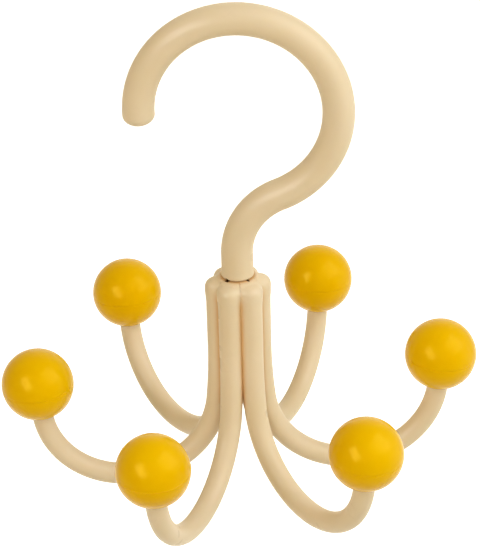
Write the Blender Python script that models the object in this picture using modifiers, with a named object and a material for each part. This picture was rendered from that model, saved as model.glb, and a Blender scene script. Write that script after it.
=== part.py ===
"""Scarf hanger: a swivelling rail hook over six curved arms, each ending in a hollow ball.

The origin is the place under the hook's crown that rests on the rail, straight above the swivel axis.
+Z is up, and the hook lies in the XZ plane with its mouth towards -X. Lengths are in metres.
"""
import math

import bmesh
import bpy
from mathutils import Vector

MM = 0.001

# Clearances
GAP = 0.3 * MM                      # between pieces that touch or are bonded
CUT_OVERRUN = 5.0 * MM              # how far a cutter reaches past what it cuts

# Hook: one round rod bent in one plane, and its spigot
HOOK_ROD_RADIUS = 5.65 * MM
HOOK_LOOP_RADIUS = 34.4 * MM        # centre line of the loop
HOOK_LOOP_OFFSET = 1.85 * MM        # loop centre, beyond the swivel axis on the closed side
HOOK_TIP_ANGLE = math.radians(182)  # where the loop's centre line ends, from +X over the top
HOOK_TIP_CAP = 3.8 * MM             # height of the rounded tip
HOOK_NECK_RADIUS = 25.2 * MM        # centre line of the bend back to the swivel axis
HOOK_STEM_LENGTH = 8.6 * MM         # straight rod between that bend and the hub
HOOK_STEM_ROUNDING = 1.2 * MM
SPIGOT_RADIUS = 2.9 * MM
SPIGOT_ROOT = 4.0 * MM              # how deep the spigot is rooted in the rod
SPIGOT_CHAMFER = 0.3 * MM

# Hub: a spool with a six-sided barrel, on which the arms are bonded
HUB_HEIGHT = 40.0 * MM
HUB_BARREL_APOTHEM = 4.5 * MM
HUB_COLLAR_RADIUS = 7.9 * MM
HUB_COLLAR_HEIGHT = 3.0 * MM
HUB_COLLAR_ROUNDING = 0.6 * MM
HUB_FLANGE_RADIUS = 6.8 * MM
HUB_FLANGE_HEIGHT = 2.4 * MM
SPIGOT_CLEARANCE = 0.3 * MM         # running clearance of the spigot in the hub's bore

# Arms: one rod shape, which gets thinner towards the ball, six times round the hub
ARM_COUNT = 6
ARM_TURN = math.radians(9.6)        # how far the first arm is turned from the hook's plane at rest
ARM_ROD_RADIUS = 4.2 * MM           # in the column
ARM_FREE_RADIUS = 4.0 * MM          # where the slow flare ends and the arm is free
ARM_END_RADIUS = 3.8 * MM           # in the ball
ARM_RING_RADIUS = 7.3 * MM          # rod centres round the swivel axis, in the column
ARM_CAP = 4.2 * MM                  # height of the rounded top end
ARM_TOP_DROP = 0.5 * MM             # that end below the top of the hub
ARM_STRAIGHT = 26.0 * MM
ARM_FLARE_RADIUS = 206.0 * MM
ARM_FLARE_ANGLE = math.radians(6.6)
ARM_INNER_BEND = 32.7 * MM
ARM_OUTER_BEND = 31.0 * MM
ARM_END_LEAN = math.radians(4.6)    # how far the raised end leans outwards
ARM_END_LENGTH = 12.1 * MM          # straight end, up to the ball's centre
ARM_END_CHAMFER = 0.6 * MM

# Balls: two turned half shells that meet at a lipped seam
BALL_RADIUS = 12.95 * MM
BALL_WALL = 2.0 * MM
BALL_LIP_THICKNESS = 0.9 * MM
BALL_LIP_HEIGHT = 1.5 * MM
SOCKET_WALL = 1.3 * MM
SOCKET_DROP = 1.3 * MM              # socket rim below the ball's centre

# Screw and washer that keep the hook's spigot in the hub
SCREW_RADIUS = 1.5 * MM
SCREW_LENGTH = 14.0 * MM
SCREW_POINT = 1.5 * MM
SCREW_HEAD_RADIUS = 2.8 * MM
SCREW_HEAD_HEIGHT = 1.9 * MM
SCREW_SLOT_LENGTH = 3.4 * MM
SCREW_SLOT_WIDTH = 0.8 * MM
SCREW_SLOT_DEPTH = 1.0 * MM
WASHER_RADIUS = 4.4 * MM
WASHER_THICKNESS = 1.0 * MM

# Smoothness
HOOK_BEVEL_RESOLUTION = 6
ARM_BEVEL_RESOLUTION = 5
BEND_STEP = math.radians(7.5)
FLARE_STEPS = 3
CAP_STEPS = 4
CAP_START_SHARE = 0.2               # radius of a rounded end's small flat, of the rod's radius
TURN_STEPS = 20
SMALL_TURN_STEPS = 16
SPHERE_STEP = math.radians(15)
CORNER_STEPS = 3
SHARP_ANGLE = math.radians(35)
MERGE_DISTANCE = 0.02 * MM

# Finishes: colour, roughness, metallic
CREAM_PLASTIC = ("cream_plastic", (0.78, 0.62, 0.38), 0.4, 0.0)
HUB_PLASTIC = ("hub_plastic", (0.74, 0.59, 0.36), 0.45, 0.0)
YELLOW_PLASTIC = ("yellow_plastic", (0.80, 0.50, 0.0), 0.3, 0.0)
PLATED_STEEL = ("plated_steel", (0.62, 0.62, 0.60), 0.3, 1.0)

# Arms' places, counter-clockwise seen from above, starting beside the hook's closed side
ARM_PLACES = ("right", "back_right", "back_left", "left", "front_left", "front_right")

# Heights that follow: the hook's loop hangs under the rail seat, and the hub under the hook's stem
HOOK_INNER_RADIUS = HOOK_LOOP_RADIUS - HOOK_ROD_RADIUS
LOOP_CENTRE = Vector((HOOK_LOOP_OFFSET, -math.sqrt(HOOK_INNER_RADIUS ** 2 - HOOK_LOOP_OFFSET ** 2)))
NECK_DROP = math.sqrt((HOOK_LOOP_RADIUS + HOOK_NECK_RADIUS) ** 2 - (HOOK_NECK_RADIUS - HOOK_LOOP_OFFSET) ** 2)
NECK_CENTRE = Vector((HOOK_NECK_RADIUS, LOOP_CENTRE.y - NECK_DROP))
STEM_BOTTOM = NECK_CENTRE.y - HOOK_STEM_LENGTH
HUB_TOP = STEM_BOTTOM - GAP
SPIGOT_BOTTOM = HUB_TOP - HUB_HEIGHT
WASHER_TOP = SPIGOT_BOTTOM - GAP
SCREW_SEAT = WASHER_TOP - WASHER_THICKNESS - GAP
SCREW_HOLE_RADIUS = SCREW_RADIUS + GAP


def collection(name):
    """A collection of the scene, made when it is first asked for."""
    found = bpy.data.collections.get(name)
    if found is None:
        found = bpy.data.collections.new(name)
        bpy.context.scene.collection.children.link(found)
    return found


def material(finish):
    """The Principled material of a finish, made once."""
    name, colour, roughness, metallic = finish
    made = bpy.data.materials.get(name)
    if made is None:
        made = bpy.data.materials.new(name)
        made.use_nodes = True
        shader = made.node_tree.nodes["Principled BSDF"]
        shader.inputs["Base Color"].default_value = (*colour, 1.0)
        shader.inputs["Roughness"].default_value = roughness
        shader.inputs["Metallic"].default_value = metallic
    return made


def piece(name, mesh, finish, parent=None):
    """A named sub-part from a mesh, in the hanger's collection."""
    obj = bpy.data.objects.new(name, mesh)
    collection("scarf_hanger").objects.link(obj)
    if not mesh.materials:
        mesh.materials.append(material(finish))
    obj.parent = parent
    return obj


def helper(name, mesh, parent=None):
    """A cutter or a root solid: it shapes other objects and isn't part of the model."""
    obj = bpy.data.objects.new(name, mesh)
    collection("cutters").objects.link(obj)
    obj.hide_render = True
    obj.display_type = "WIRE"
    obj.parent = parent
    return obj


def combine(obj, operation, other):
    """A live Boolean of obj with another object."""
    modifier = obj.modifiers.new(f"{operation.lower()}_{other.name}", "BOOLEAN")
    modifier.operation = operation
    modifier.object = other


def smooth(mesh):
    """Smooth shading with the real edges kept sharp."""
    mesh.shade_smooth()
    mesh.set_sharp_from_angle(angle=SHARP_ANGLE)


def evaluated_mesh(obj):
    """A plain mesh of an object with its modifiers, or of a curve with its bevel and caps."""
    graph = bpy.context.evaluated_depsgraph_get()
    mesh = bpy.data.meshes.new_from_object(obj.evaluated_get(graph))
    shape = bmesh.new()
    shape.from_mesh(mesh)
    bmesh.ops.remove_doubles(shape, verts=shape.verts, dist=MERGE_DISTANCE)
    shape.to_mesh(mesh)
    shape.free()
    return mesh


def arc(centre, radius, start, end, step=BEND_STEP):
    """Points of an arc in a plane, both ends included."""
    count = max(1, math.ceil(abs(end - start) / step))
    angles = [start + (end - start) * i / count for i in range(count + 1)]
    return [centre + radius * Vector((math.cos(angle), math.sin(angle))) for angle in angles]


def rounded_end(tip, inward, height, radius):
    """Centre line points and rod radii from a rounded end's tip to where the rod is full."""
    points, radii = [], []
    for i in range(CAP_STEPS):
        turn = math.pi / 2 * i / CAP_STEPS
        share = math.sin(turn) + CAP_START_SHARE * (1 - math.sin(turn))
        points.append(tip + inward * height * (1 - math.cos(turn)))
        radii.append(radius * share)
    return points, radii


def tapered(points, first, last):
    """Rod radii at points along a route, which change evenly with its length."""
    lengths = [0]
    for a, b in zip(points, points[1:]):
        lengths.append(lengths[-1] + (b - a).length)
    return [first + (last - first) * length / lengths[-1] for length in lengths]


def rod_mesh(name, points, radii, bevel_resolution):
    """A round rod along plane points (x, z), with a radius at each point and closed ends."""
    curve = bpy.data.curves.new(name, "CURVE")
    curve.dimensions = "3D"
    curve.bevel_depth = max(radii)
    curve.bevel_resolution = bevel_resolution
    curve.use_fill_caps = True
    spline = curve.splines.new("POLY")
    spline.points.add(len(points) - 1)
    for spot, point, radius in zip(spline.points, points, radii):
        spot.co = (point.x, 0, point.y, 1)
        spot.radius = radius / curve.bevel_depth
    guide = bpy.data.objects.new(name, curve)
    collection("cutters").objects.link(guide)
    bpy.context.view_layer.update()
    mesh = evaluated_mesh(guide)
    bpy.data.objects.remove(guide)
    smooth(mesh)
    return mesh


def turned_mesh(name, profile, closed):
    """The half section of a turned body: (radius, height) points that run down its outer side."""
    shape = bmesh.new()
    verts = [shape.verts.new((radius, 0, height)) for radius, height in profile]
    pairs = list(zip(verts, verts[1:]))
    if closed:
        pairs.append((verts[-1], verts[0]))
    for pair in pairs:
        shape.edges.new(pair)
    mesh = bpy.data.meshes.new(name)
    shape.to_mesh(mesh)
    shape.free()
    return mesh


def turn(obj, steps):
    """Turns an object's half section a full round about its own Z axis."""
    modifier = obj.modifiers.new("turned", "SCREW")
    modifier.steps = steps
    modifier.render_steps = steps
    modifier.use_merge_vertices = True
    modifier.merge_threshold = MERGE_DISTANCE
    modifier.use_smooth_shade = True
    return obj


def prism_mesh(name, radius, top, bottom, sides):
    """An upright prism or cylinder between two heights."""
    shape = bmesh.new()
    bmesh.ops.create_cone(shape, cap_ends=True, segments=sides, radius1=radius, radius2=radius,
                          depth=top - bottom)
    bmesh.ops.translate(shape, verts=shape.verts, vec=(0, 0, (top + bottom) / 2))
    mesh = bpy.data.meshes.new(name)
    shape.to_mesh(mesh)
    shape.free()
    return mesh


def box_mesh(name, low, high):
    """A box between two corners."""
    shape = bmesh.new()
    bmesh.ops.create_cube(shape, size=1.0)
    for vert in shape.verts:
        vert.co = [(a + b) / 2 + side * (b - a) for a, b, side in zip(low, high, vert.co)]
    mesh = bpy.data.meshes.new(name)
    shape.to_mesh(mesh)
    shape.free()
    return mesh


def rounded_corner(radius, height, rounding):
    """Section points round a top outer corner, from the top face to the side."""
    centre = Vector((radius - rounding, height - rounding))
    return arc(centre, rounding, math.pi / 2, 0, math.pi / 2 / CORNER_STEPS)


def make_hook():
    """The bent rod with its rounded tip, and the spigot with the screw's hole."""
    to_neck = NECK_CENTRE - LOOP_CENTRE
    joint_angle = math.atan2(to_neck.y, to_neck.x)
    loop = arc(LOOP_CENTRE, HOOK_LOOP_RADIUS, HOOK_TIP_ANGLE, joint_angle)
    neck = arc(NECK_CENTRE, HOOK_NECK_RADIUS, joint_angle + math.pi, math.pi)

    heading_back = Vector((math.sin(HOOK_TIP_ANGLE), -math.cos(HOOK_TIP_ANGLE)))
    tip = loop[0] - heading_back * HOOK_TIP_CAP
    points, radii = rounded_end(tip, heading_back, HOOK_TIP_CAP, HOOK_ROD_RADIUS)
    body = loop + neck[1:]
    points += body
    radii += [HOOK_ROD_RADIUS] * len(body)
    for radius, height in rounding_down(HOOK_ROD_RADIUS, STEM_BOTTOM, HOOK_STEM_ROUNDING):
        points.append(Vector((0, height)))
        radii.append(radius)
    hook = piece("hook", rod_mesh("hook", points, radii, HOOK_BEVEL_RESOLUTION), CREAM_PLASTIC)

    spigot_profile = [
        (0, STEM_BOTTOM + SPIGOT_ROOT),
        (SPIGOT_RADIUS, STEM_BOTTOM + SPIGOT_ROOT),
        (SPIGOT_RADIUS, SPIGOT_BOTTOM + SPIGOT_CHAMFER),
        (SPIGOT_RADIUS - SPIGOT_CHAMFER, SPIGOT_BOTTOM),
        (0, SPIGOT_BOTTOM),
    ]
    spigot = turn(helper("spigot", turned_mesh("spigot", spigot_profile, closed=False)), SMALL_TURN_STEPS)
    hole = helper("screw_hole", prism_mesh("screw_hole", SCREW_HOLE_RADIUS, SCREW_SEAT + SCREW_LENGTH + GAP,
                                           SPIGOT_BOTTOM - CUT_OVERRUN, SMALL_TURN_STEPS))
    combine(hook, "UNION", spigot)
    combine(hook, "DIFFERENCE", hole)
    return hook


def rounding_down(radius, bottom, rounding):
    """(radius, height) pairs of a rod's rounded lower end, from the full side to the flat bottom."""
    centre = Vector((radius - rounding, bottom + rounding))
    return [(p.x, p.y) for p in arc(centre, rounding, 0, -math.pi / 2, math.pi / 2 / CORNER_STEPS)]


def make_hub(carousel):
    """The spool: collar, six-sided barrel and flange, bored for the spigot. Its top is the carousel's."""
    barrel_radius = HUB_BARREL_APOTHEM / math.cos(math.pi / ARM_COUNT)
    barrel_top = -HUB_COLLAR_HEIGHT / 2
    barrel_bottom = -HUB_HEIGHT + HUB_FLANGE_HEIGHT / 2
    hub = piece("hub", prism_mesh("hub", barrel_radius, barrel_top, barrel_bottom, ARM_COUNT), HUB_PLASTIC,
                carousel)

    corner = rounded_corner(HUB_COLLAR_RADIUS, 0, HUB_COLLAR_ROUNDING)
    collar_profile = [(0, 0)] + [(p.x, p.y) for p in corner] + [
        (HUB_COLLAR_RADIUS, -HUB_COLLAR_HEIGHT), (0, -HUB_COLLAR_HEIGHT)]
    collar = turn(helper("hub_collar", turned_mesh("hub_collar", collar_profile, closed=False), carousel),
                  TURN_STEPS)
    flange = helper("hub_flange", prism_mesh("hub_flange", HUB_FLANGE_RADIUS, -HUB_HEIGHT + HUB_FLANGE_HEIGHT,
                                             -HUB_HEIGHT, TURN_STEPS), carousel)
    bore = helper("hub_bore", prism_mesh("hub_bore", SPIGOT_RADIUS + SPIGOT_CLEARANCE, CUT_OVERRUN,
                                         -HUB_HEIGHT - CUT_OVERRUN, SMALL_TURN_STEPS), carousel)
    combine(hub, "UNION", collar)
    combine(hub, "UNION", flange)
    combine(hub, "DIFFERENCE", bore)
    return hub


def arm_route():
    """An arm's bends in its own plane, from the hub's top down and out to the ball's centre.

    Returns the centre line's points between the rounded top and the ball's centre.
    """
    bend_start = Vector((ARM_RING_RADIUS, -ARM_TOP_DROP - ARM_STRAIGHT))
    flare_centre = bend_start + Vector((ARM_FLARE_RADIUS, 0))
    flare_step = ARM_FLARE_ANGLE / FLARE_STEPS
    flare = arc(flare_centre, ARM_FLARE_RADIUS, math.pi, math.pi + ARM_FLARE_ANGLE, flare_step)

    towards_inner = Vector((math.cos(ARM_FLARE_ANGLE), math.sin(ARM_FLARE_ANGLE)))
    inner_centre = flare[-1] + ARM_INNER_BEND * towards_inner
    inner = arc(inner_centre, ARM_INNER_BEND, math.pi + ARM_FLARE_ANGLE, 3 * math.pi / 2)

    outer_centre = inner[-1] + Vector((0, ARM_OUTER_BEND))
    outer = arc(outer_centre, ARM_OUTER_BEND, -math.pi / 2, -ARM_END_LEAN)

    end_direction = Vector((math.sin(ARM_END_LEAN), math.cos(ARM_END_LEAN)))
    ball_centre = outer[-1] + end_direction * ARM_END_LENGTH
    return flare + inner[1:] + outer[1:] + [ball_centre]


def arm_mesh(carousel):
    """One arm in the plane of azimuth zero, cut back for the hub and for its neighbours."""
    route = arm_route()
    ball_centre = route[-1]
    down = Vector((0, -1))
    tip = Vector((ARM_RING_RADIUS, -ARM_TOP_DROP))
    points, radii = rounded_end(tip, down, ARM_CAP, ARM_ROD_RADIUS)
    points.append(tip + down * ARM_CAP)
    radii.append(ARM_ROD_RADIUS)

    backwards = (route[-2] - ball_centre).normalized()
    end = ball_centre + backwards * (SOCKET_DROP + GAP)
    points += route[:-1] + [end + backwards * ARM_END_CHAMFER, end]
    radii += tapered(route[:FLARE_STEPS + 1], ARM_ROD_RADIUS, ARM_FREE_RADIUS)
    radii += tapered(route[FLARE_STEPS:-1], ARM_FREE_RADIUS, ARM_END_RADIUS)[1:]
    radii += [ARM_END_RADIUS, ARM_END_RADIUS - ARM_END_CHAMFER]
    rod = helper("arm_rod", rod_mesh("arm", points, radii, ARM_BEVEL_RESOLUTION), carousel)

    reach = ARM_RING_RADIUS + 2 * ARM_ROD_RADIUS
    depth = HUB_HEIGHT + ARM_INNER_BEND
    channel_radius = (HUB_BARREL_APOTHEM + GAP) / math.cos(math.pi / ARM_COUNT)
    rooms = [
        helper("channel_room", prism_mesh("channel_room", channel_radius, CUT_OVERRUN, -depth, ARM_COUNT),
               carousel),
        helper("collar_room", prism_mesh("collar_room", HUB_COLLAR_RADIUS + GAP, CUT_OVERRUN,
                                         -HUB_COLLAR_HEIGHT - GAP, TURN_STEPS), carousel),
        helper("flange_room", prism_mesh("flange_room", HUB_FLANGE_RADIUS + GAP,
                                         GAP + HUB_FLANGE_HEIGHT - HUB_HEIGHT, -HUB_HEIGHT - GAP,
                                         TURN_STEPS), carousel),
    ]
    for side in (-1, 1):
        near, far = -GAP / 2, reach
        low = (-CUT_OVERRUN, min(side * near, side * far), -depth)
        high = (reach + CUT_OVERRUN, max(side * near, side * far), CUT_OVERRUN)
        flank = helper("neighbour_room", box_mesh("neighbour_room", low, high), carousel)
        flank.rotation_euler.z = side * math.pi / ARM_COUNT
        rooms.append(flank)
    for room in rooms:
        combine(rod, "DIFFERENCE", room)
    bpy.context.view_layer.update()
    mesh = evaluated_mesh(rod)
    smooth(mesh)
    return mesh, ball_centre


def sphere_side(radius, low_angle, high_angle):
    """(radius, height) points along a sphere's side between two elevations, in the order given."""
    centre = Vector((0, 0))
    return [(p.x, p.y) for p in arc(centre, radius, low_angle, high_angle, SPHERE_STEP)]


def ball_profiles():
    """Half sections of the lower shell, with its socket tube, and of the upper shell, with its lip."""
    inner_radius = BALL_RADIUS - BALL_WALL
    lip_outer = inner_radius + BALL_LIP_THICKNESS
    half_gap = GAP / 2
    socket_radius = ARM_END_RADIUS + GAP
    tube_radius = socket_radius + SOCKET_WALL
    ledge = -BALL_LIP_HEIGHT - GAP

    outer_low = sphere_side(BALL_RADIUS, -math.asin(half_gap / BALL_RADIUS),
                            -math.acos(socket_radius / BALL_RADIUS))
    inner_low = sphere_side(inner_radius, -math.acos(tube_radius / inner_radius),
                            math.asin(ledge / inner_radius))
    lower = outer_low + [(socket_radius, -SOCKET_DROP), (tube_radius, -SOCKET_DROP)] + inner_low + [
        (lip_outer + GAP, ledge), (lip_outer + GAP, -half_gap)]

    outer_high = sphere_side(BALL_RADIUS, math.pi / 2, math.asin(half_gap / BALL_RADIUS))
    inner_high = sphere_side(inner_radius, math.asin(-BALL_LIP_HEIGHT / inner_radius), math.pi / 2)
    upper = [(0, BALL_RADIUS)] + outer_high[1:] + [
        (lip_outer, half_gap), (lip_outer, -BALL_LIP_HEIGHT)] + inner_high[:-1] + [(0, inner_radius)]
    return lower, upper


def make_arms(carousel):
    """Six arms round the carousel, each carrying its ball's two shells."""
    mesh, ball_centre = arm_mesh(carousel)
    lower_profile, upper_profile = ball_profiles()
    lower_mesh = turned_mesh("ball_lower", lower_profile, closed=True)
    upper_mesh = turned_mesh("ball_upper", upper_profile, closed=False)
    for index, place in enumerate(ARM_PLACES):
        arm = piece(f"arm_{place}", mesh, CREAM_PLASTIC, carousel)
        arm.rotation_euler.z = 2 * math.pi * index / ARM_COUNT
        for half, half_mesh in (("lower", lower_mesh), ("upper", upper_mesh)):
            shell = turn(piece(f"ball_{half}_{place}", half_mesh, YELLOW_PLASTIC, arm), TURN_STEPS)
            shell.location = (ball_centre.x, 0, ball_centre.y)
            shell.rotation_euler.y = ARM_END_LEAN


def make_washer():
    """The ring that closes the hub's bore from below."""
    profile = [
        (WASHER_RADIUS, WASHER_TOP),
        (WASHER_RADIUS, WASHER_TOP - WASHER_THICKNESS),
        (SCREW_HOLE_RADIUS, WASHER_TOP - WASHER_THICKNESS),
        (SCREW_HOLE_RADIUS, WASHER_TOP),
    ]
    return turn(piece("washer", turned_mesh("washer", profile, closed=True), PLATED_STEEL), SMALL_TURN_STEPS)


def make_screw():
    """The pan head screw, driven up into the spigot, with a cross recess."""
    head_bottom = SCREW_SEAT - SCREW_HEAD_HEIGHT
    head_rounding = SCREW_HEAD_HEIGHT / 2
    point_height = SCREW_SEAT + SCREW_LENGTH
    profile = [
        (0, point_height),
        (SCREW_RADIUS / 2, point_height),
        (SCREW_RADIUS, point_height - SCREW_POINT),
        (SCREW_RADIUS, SCREW_SEAT),
        (SCREW_HEAD_RADIUS, SCREW_SEAT),
    ] + rounding_down(SCREW_HEAD_RADIUS, head_bottom, head_rounding) + [(0, head_bottom)]
    mesh = turned_mesh("retaining_screw", profile, closed=False)
    screw = turn(piece("retaining_screw", mesh, PLATED_STEEL), SMALL_TURN_STEPS)
    for name, length, width in (("slot_x", SCREW_SLOT_LENGTH, SCREW_SLOT_WIDTH),
                                ("slot_y", SCREW_SLOT_WIDTH, SCREW_SLOT_LENGTH)):
        low = (-length / 2, -width / 2, head_bottom - CUT_OVERRUN)
        high = (length / 2, width / 2, head_bottom + SCREW_SLOT_DEPTH)
        combine(screw, "DIFFERENCE", helper(name, box_mesh(name, low, high)))
    return screw


def build():
    """Clears the scene and builds the hanger."""
    for obj in list(bpy.data.objects):
        bpy.data.objects.remove(obj)
    carousel = bpy.data.objects.new("carousel", None)
    collection("scarf_hanger").objects.link(carousel)
    carousel.location.z = HUB_TOP
    carousel.rotation_euler.z = ARM_TURN

    make_hook()
    make_washer()
    make_screw()
    make_hub(carousel)
    make_arms(carousel)
    bpy.context.view_layer.update()


build()
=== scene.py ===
"""Scarf hanger in its studio: fine moulded rods, balls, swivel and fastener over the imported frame.

Lengths are in metres. The origin is the place under the hook's crown that rests on the rail, +Z is up
and the hook lies in the XZ plane with its mouth towards -X.
"""
import logging
from collections.abc import Iterable
from dataclasses import dataclass
from enum import Enum
from math import acos, asin, atan2, cos, pi, radians, sin, sqrt

import bpy
import numpy as np
from bpy.types import Material, Node, NodeSocket, NodeTree, Object
from mathutils import Matrix, Vector


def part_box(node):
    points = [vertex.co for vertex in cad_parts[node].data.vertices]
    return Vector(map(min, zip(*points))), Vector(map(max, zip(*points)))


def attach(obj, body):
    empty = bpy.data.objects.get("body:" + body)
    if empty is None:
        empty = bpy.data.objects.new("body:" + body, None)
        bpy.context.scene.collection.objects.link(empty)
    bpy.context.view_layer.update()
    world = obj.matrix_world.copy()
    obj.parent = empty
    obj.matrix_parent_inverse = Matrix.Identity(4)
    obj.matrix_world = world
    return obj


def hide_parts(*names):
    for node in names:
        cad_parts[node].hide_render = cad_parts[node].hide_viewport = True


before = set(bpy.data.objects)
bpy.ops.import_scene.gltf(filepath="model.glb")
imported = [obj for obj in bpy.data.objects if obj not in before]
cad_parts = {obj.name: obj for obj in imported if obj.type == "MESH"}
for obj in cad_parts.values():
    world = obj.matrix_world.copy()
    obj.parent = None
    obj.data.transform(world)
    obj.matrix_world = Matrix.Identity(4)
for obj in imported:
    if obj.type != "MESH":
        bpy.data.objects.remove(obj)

MM = 0.001
HOOK_BODY = "hook_assembly"
ARM_BODY = "arm_cluster"
HAIRLINE = 0.02 * MM                # between visible pieces that are bonded face to face
SOCKET_GAP = 0.04 * MM              # round an arm's end in its ball
SLIT = 0.3 * MM                     # between the hook's foot and the column
NOISE_RANGE = {"From Min": 0.3, "From Max": 0.7}    # the values that a noise pattern mostly has
SHARP_ANGLE = radians(35)
MERGE_DISTANCE = 0.001 * MM
EDGE = 0.1 * MM                     # chamfer of a moulded or stamped edge
CUT_OVERRUN = 5 * MM                # how far a cutter reaches past what it cuts
SIXTH = pi / 3                 # turn from one arm to the next
NEARLY_NOTHING = 1e-6
NEIGHBOUR_TURNS = [np.array(Matrix.Rotation(side * SIXTH, 3, "Z")) for side in (-1, 1)]
PAINTED_SHADE_ATTRIBUTE = "valley"                   # attribute of painted shade: 0 where the skin is open, 1 at the bottom of a valley
HOLLOW_SHADE_MARK = 2.0                  # and this inside a small deep hollow, for a near-black painted shade

log = logging.getLogger("scarf_hanger")


def linear_rgba(hex_colour: str) -> tuple[float, float, float, float]:
    """Turns an sRGB hex colour to the linear colour that a shader takes.

    Args:
        hex_colour: six hex digits after a hash mark, such as "#e3c99b".

    Returns:
        Linear red, green and blue, and an alpha of 1.
    """
    parts = [int(hex_colour[start:start + 2], 16) / 255 for start in (1, 3, 5)]
    red, green, blue = (c / 12.92 if c <= 0.04045 else ((c + 0.055) / 1.055) ** 2.4 for c in parts)
    return red, green, blue, 1.0


def add_node(tree: NodeTree, kind: str, inputs: dict | None = None, **settings) -> Node:
    """Adds a node with its settings and links.

    Args:
        tree: node tree that gets the node.
        kind: type name of the node.
        inputs: value, or socket to link from, for each input's name or number.
        settings: properties of the node.

    Returns:
        The new node.
    """
    node = tree.nodes.new(kind)
    for name, value in settings.items():
        setattr(node, name, value)
    for name, value in (inputs or {}).items():
        if isinstance(value, NodeSocket):
            tree.links.new(value, node.inputs[name])
        else:
            node.inputs[name].default_value = value
    return node


def start_material(name: str, even: dict) -> tuple[Material, Node, NodeSocket]:
    """Starts a material.

    Args:
        name: name of the material.
        even: value for each shader input that is the same all over.

    Returns:
        The material, its shader and the socket of its Object coordinates.
    """
    made = bpy.data.materials.new(name)
    made.use_nodes = True
    shader = made.node_tree.nodes["Principled BSDF"]
    for key, value in even.items():
        shader.inputs[key].default_value = value
    return made, shader, add_node(made.node_tree, "ShaderNodeTexCoord").outputs["Object"]


def mix_colours(share: NodeSocket, first: NodeSocket | tuple, second: tuple) -> NodeSocket:
    """Adds a node that goes from one colour to another."""
    values = {0: share, 6: first, 7: second}
    return add_node(share.id_data, "ShaderNodeMix", values, data_type="RGBA").outputs[2]


def add_noise(place: NodeSocket, width: float, detail: float, **inputs) -> NodeSocket:
    """Adds a noise pattern.

    Args:
        place: socket of the coordinates.
        width: width of the pattern's largest patches.
        detail: how many finer patterns lie over it.
        inputs: further values.

    Returns:
        The pattern's socket, from 0 to 1.
    """
    values = {"Vector": place, "Scale": 1 / width, "Detail": detail, **inputs}
    return add_node(place.id_data, "ShaderNodeTexNoise", values).outputs["Fac"]


def follow(shader: Node, gloss: NodeSocket, roughness: float, spread: float, relief: NodeSocket,
           depth: float, **limits) -> None:
    """Lets a shader's roughness and relief follow patterns.

    Args:
        shader: shader of the material.
        gloss: pattern of the roughness.
        roughness: its middle value.
        spread: how far it goes to either side.
        relief: pattern of the skin's relief.
        depth: height of the relief.
        limits: the part of the gloss pattern that is used, if not the whole.
    """
    tree = shader.id_data
    sheen = add_node(tree, "ShaderNodeMapRange", {"Value": gloss, "To Min": roughness - spread,
                                                  "To Max": roughness + spread, **limits})
    tree.links.new(sheen.outputs["Result"], shader.inputs["Roughness"])
    bump = add_node(tree, "ShaderNodeBump", {"Height": relief, "Distance": depth, "Strength": 1.0})
    tree.links.new(bump.outputs["Normal"], shader.inputs["Normal"])


class ArmPlace(Enum):
    """Places round the column, counter-clockwise from above, starting beside the hook's closed side."""

    RIGHT = "right"
    BACK_RIGHT = "back_right"
    BACK_LEFT = "back_left"
    LEFT = "left"
    FRONT_LEFT = "front_left"
    FRONT_RIGHT = "front_right"


@dataclass(frozen=True)
class MouldedPolypropylene:
    """Polypropylene from a polished mould: even satin colour, a faint ripple and soft wide highlights, with
    painted shade in valleys and small hollows where it is given.
    """

    name: str
    colour: str
    shade: str                          # the colour where the melt ran thicker
    roughness: float
    roughness_spread: float
    ripple_depth: float
    glow: float                         # weight of the light that scatters under the surface
    cloud_width: float = 26 * MM        # clouds in the colour, about as wide as a ball
    cloud_softness: float = 0.45        # how much of the finer patterns they keep
    patch_width: float = 10.4 * MM      # patches of even gloss
    ripple_width: float = 1.6 * MM      # a mould's ripple is finer, drawn coarse enough to show
    index_of_refraction: float = 1.49
    gloss: float = 0.5
    gloss_tint: str = "#ffffff"
    painted_valley_shade: str | None = None     # painted shade deep in a valley, which stands in for light passing from wall to wall
    painted_hollow_shade: str = "#4f3218"       # and painted shade in a small deep hollow, where hardly any light comes back
    scatter_depth: float = 0.6 * MM
    scatter_reach: tuple[float, ...] = (1.0, 0.55, 0.25)    # red light goes furthest

    def build(self) -> Material:
        """Builds the material.

        Returns:
            The material, on Object coordinates.
        """
        made, shader, place = start_material(self.name, {
            "IOR": self.index_of_refraction, "Specular IOR Level": self.gloss,
            "Specular Tint": linear_rgba(self.gloss_tint), "Subsurface Weight": self.glow,
            "Subsurface Radius": self.scatter_reach, "Subsurface Scale": self.scatter_depth})
        tree = made.node_tree
        clouds = add_noise(place, self.cloud_width, 3.0, Roughness=self.cloud_softness)
        blend = add_node(tree, "ShaderNodeMapRange", {"Value": clouds, **NOISE_RANGE})
        skin = mix_colours(blend.outputs["Result"], linear_rgba(self.colour), linear_rgba(self.shade))
        # Painted shade: up to 1 the attribute turns the colour to a warm brown, in the valleys and the
        # crease round the hook's foot; beyond 1 it goes on to a near black, in the small hollows.
        if self.painted_valley_shade:
            depth = add_node(tree, "ShaderNodeAttribute", attribute_name=PAINTED_SHADE_ATTRIBUTE).outputs["Fac"]
            beyond = add_node(tree, "ShaderNodeMath", {0: depth, 1: 1.0},
                              operation="SUBTRACT", use_clamp=True)
            skin = mix_colours(depth, skin, linear_rgba(self.painted_valley_shade))
            skin = mix_colours(beyond.outputs[0], skin, linear_rgba(self.painted_hollow_shade))
        tree.links.new(skin, shader.inputs["Base Color"])
        follow(shader, add_noise(place, self.patch_width, 2.0), self.roughness, self.roughness_spread,
               add_noise(place, self.ripple_width, 2.0), self.ripple_depth, **NOISE_RANGE)
        return made


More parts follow.
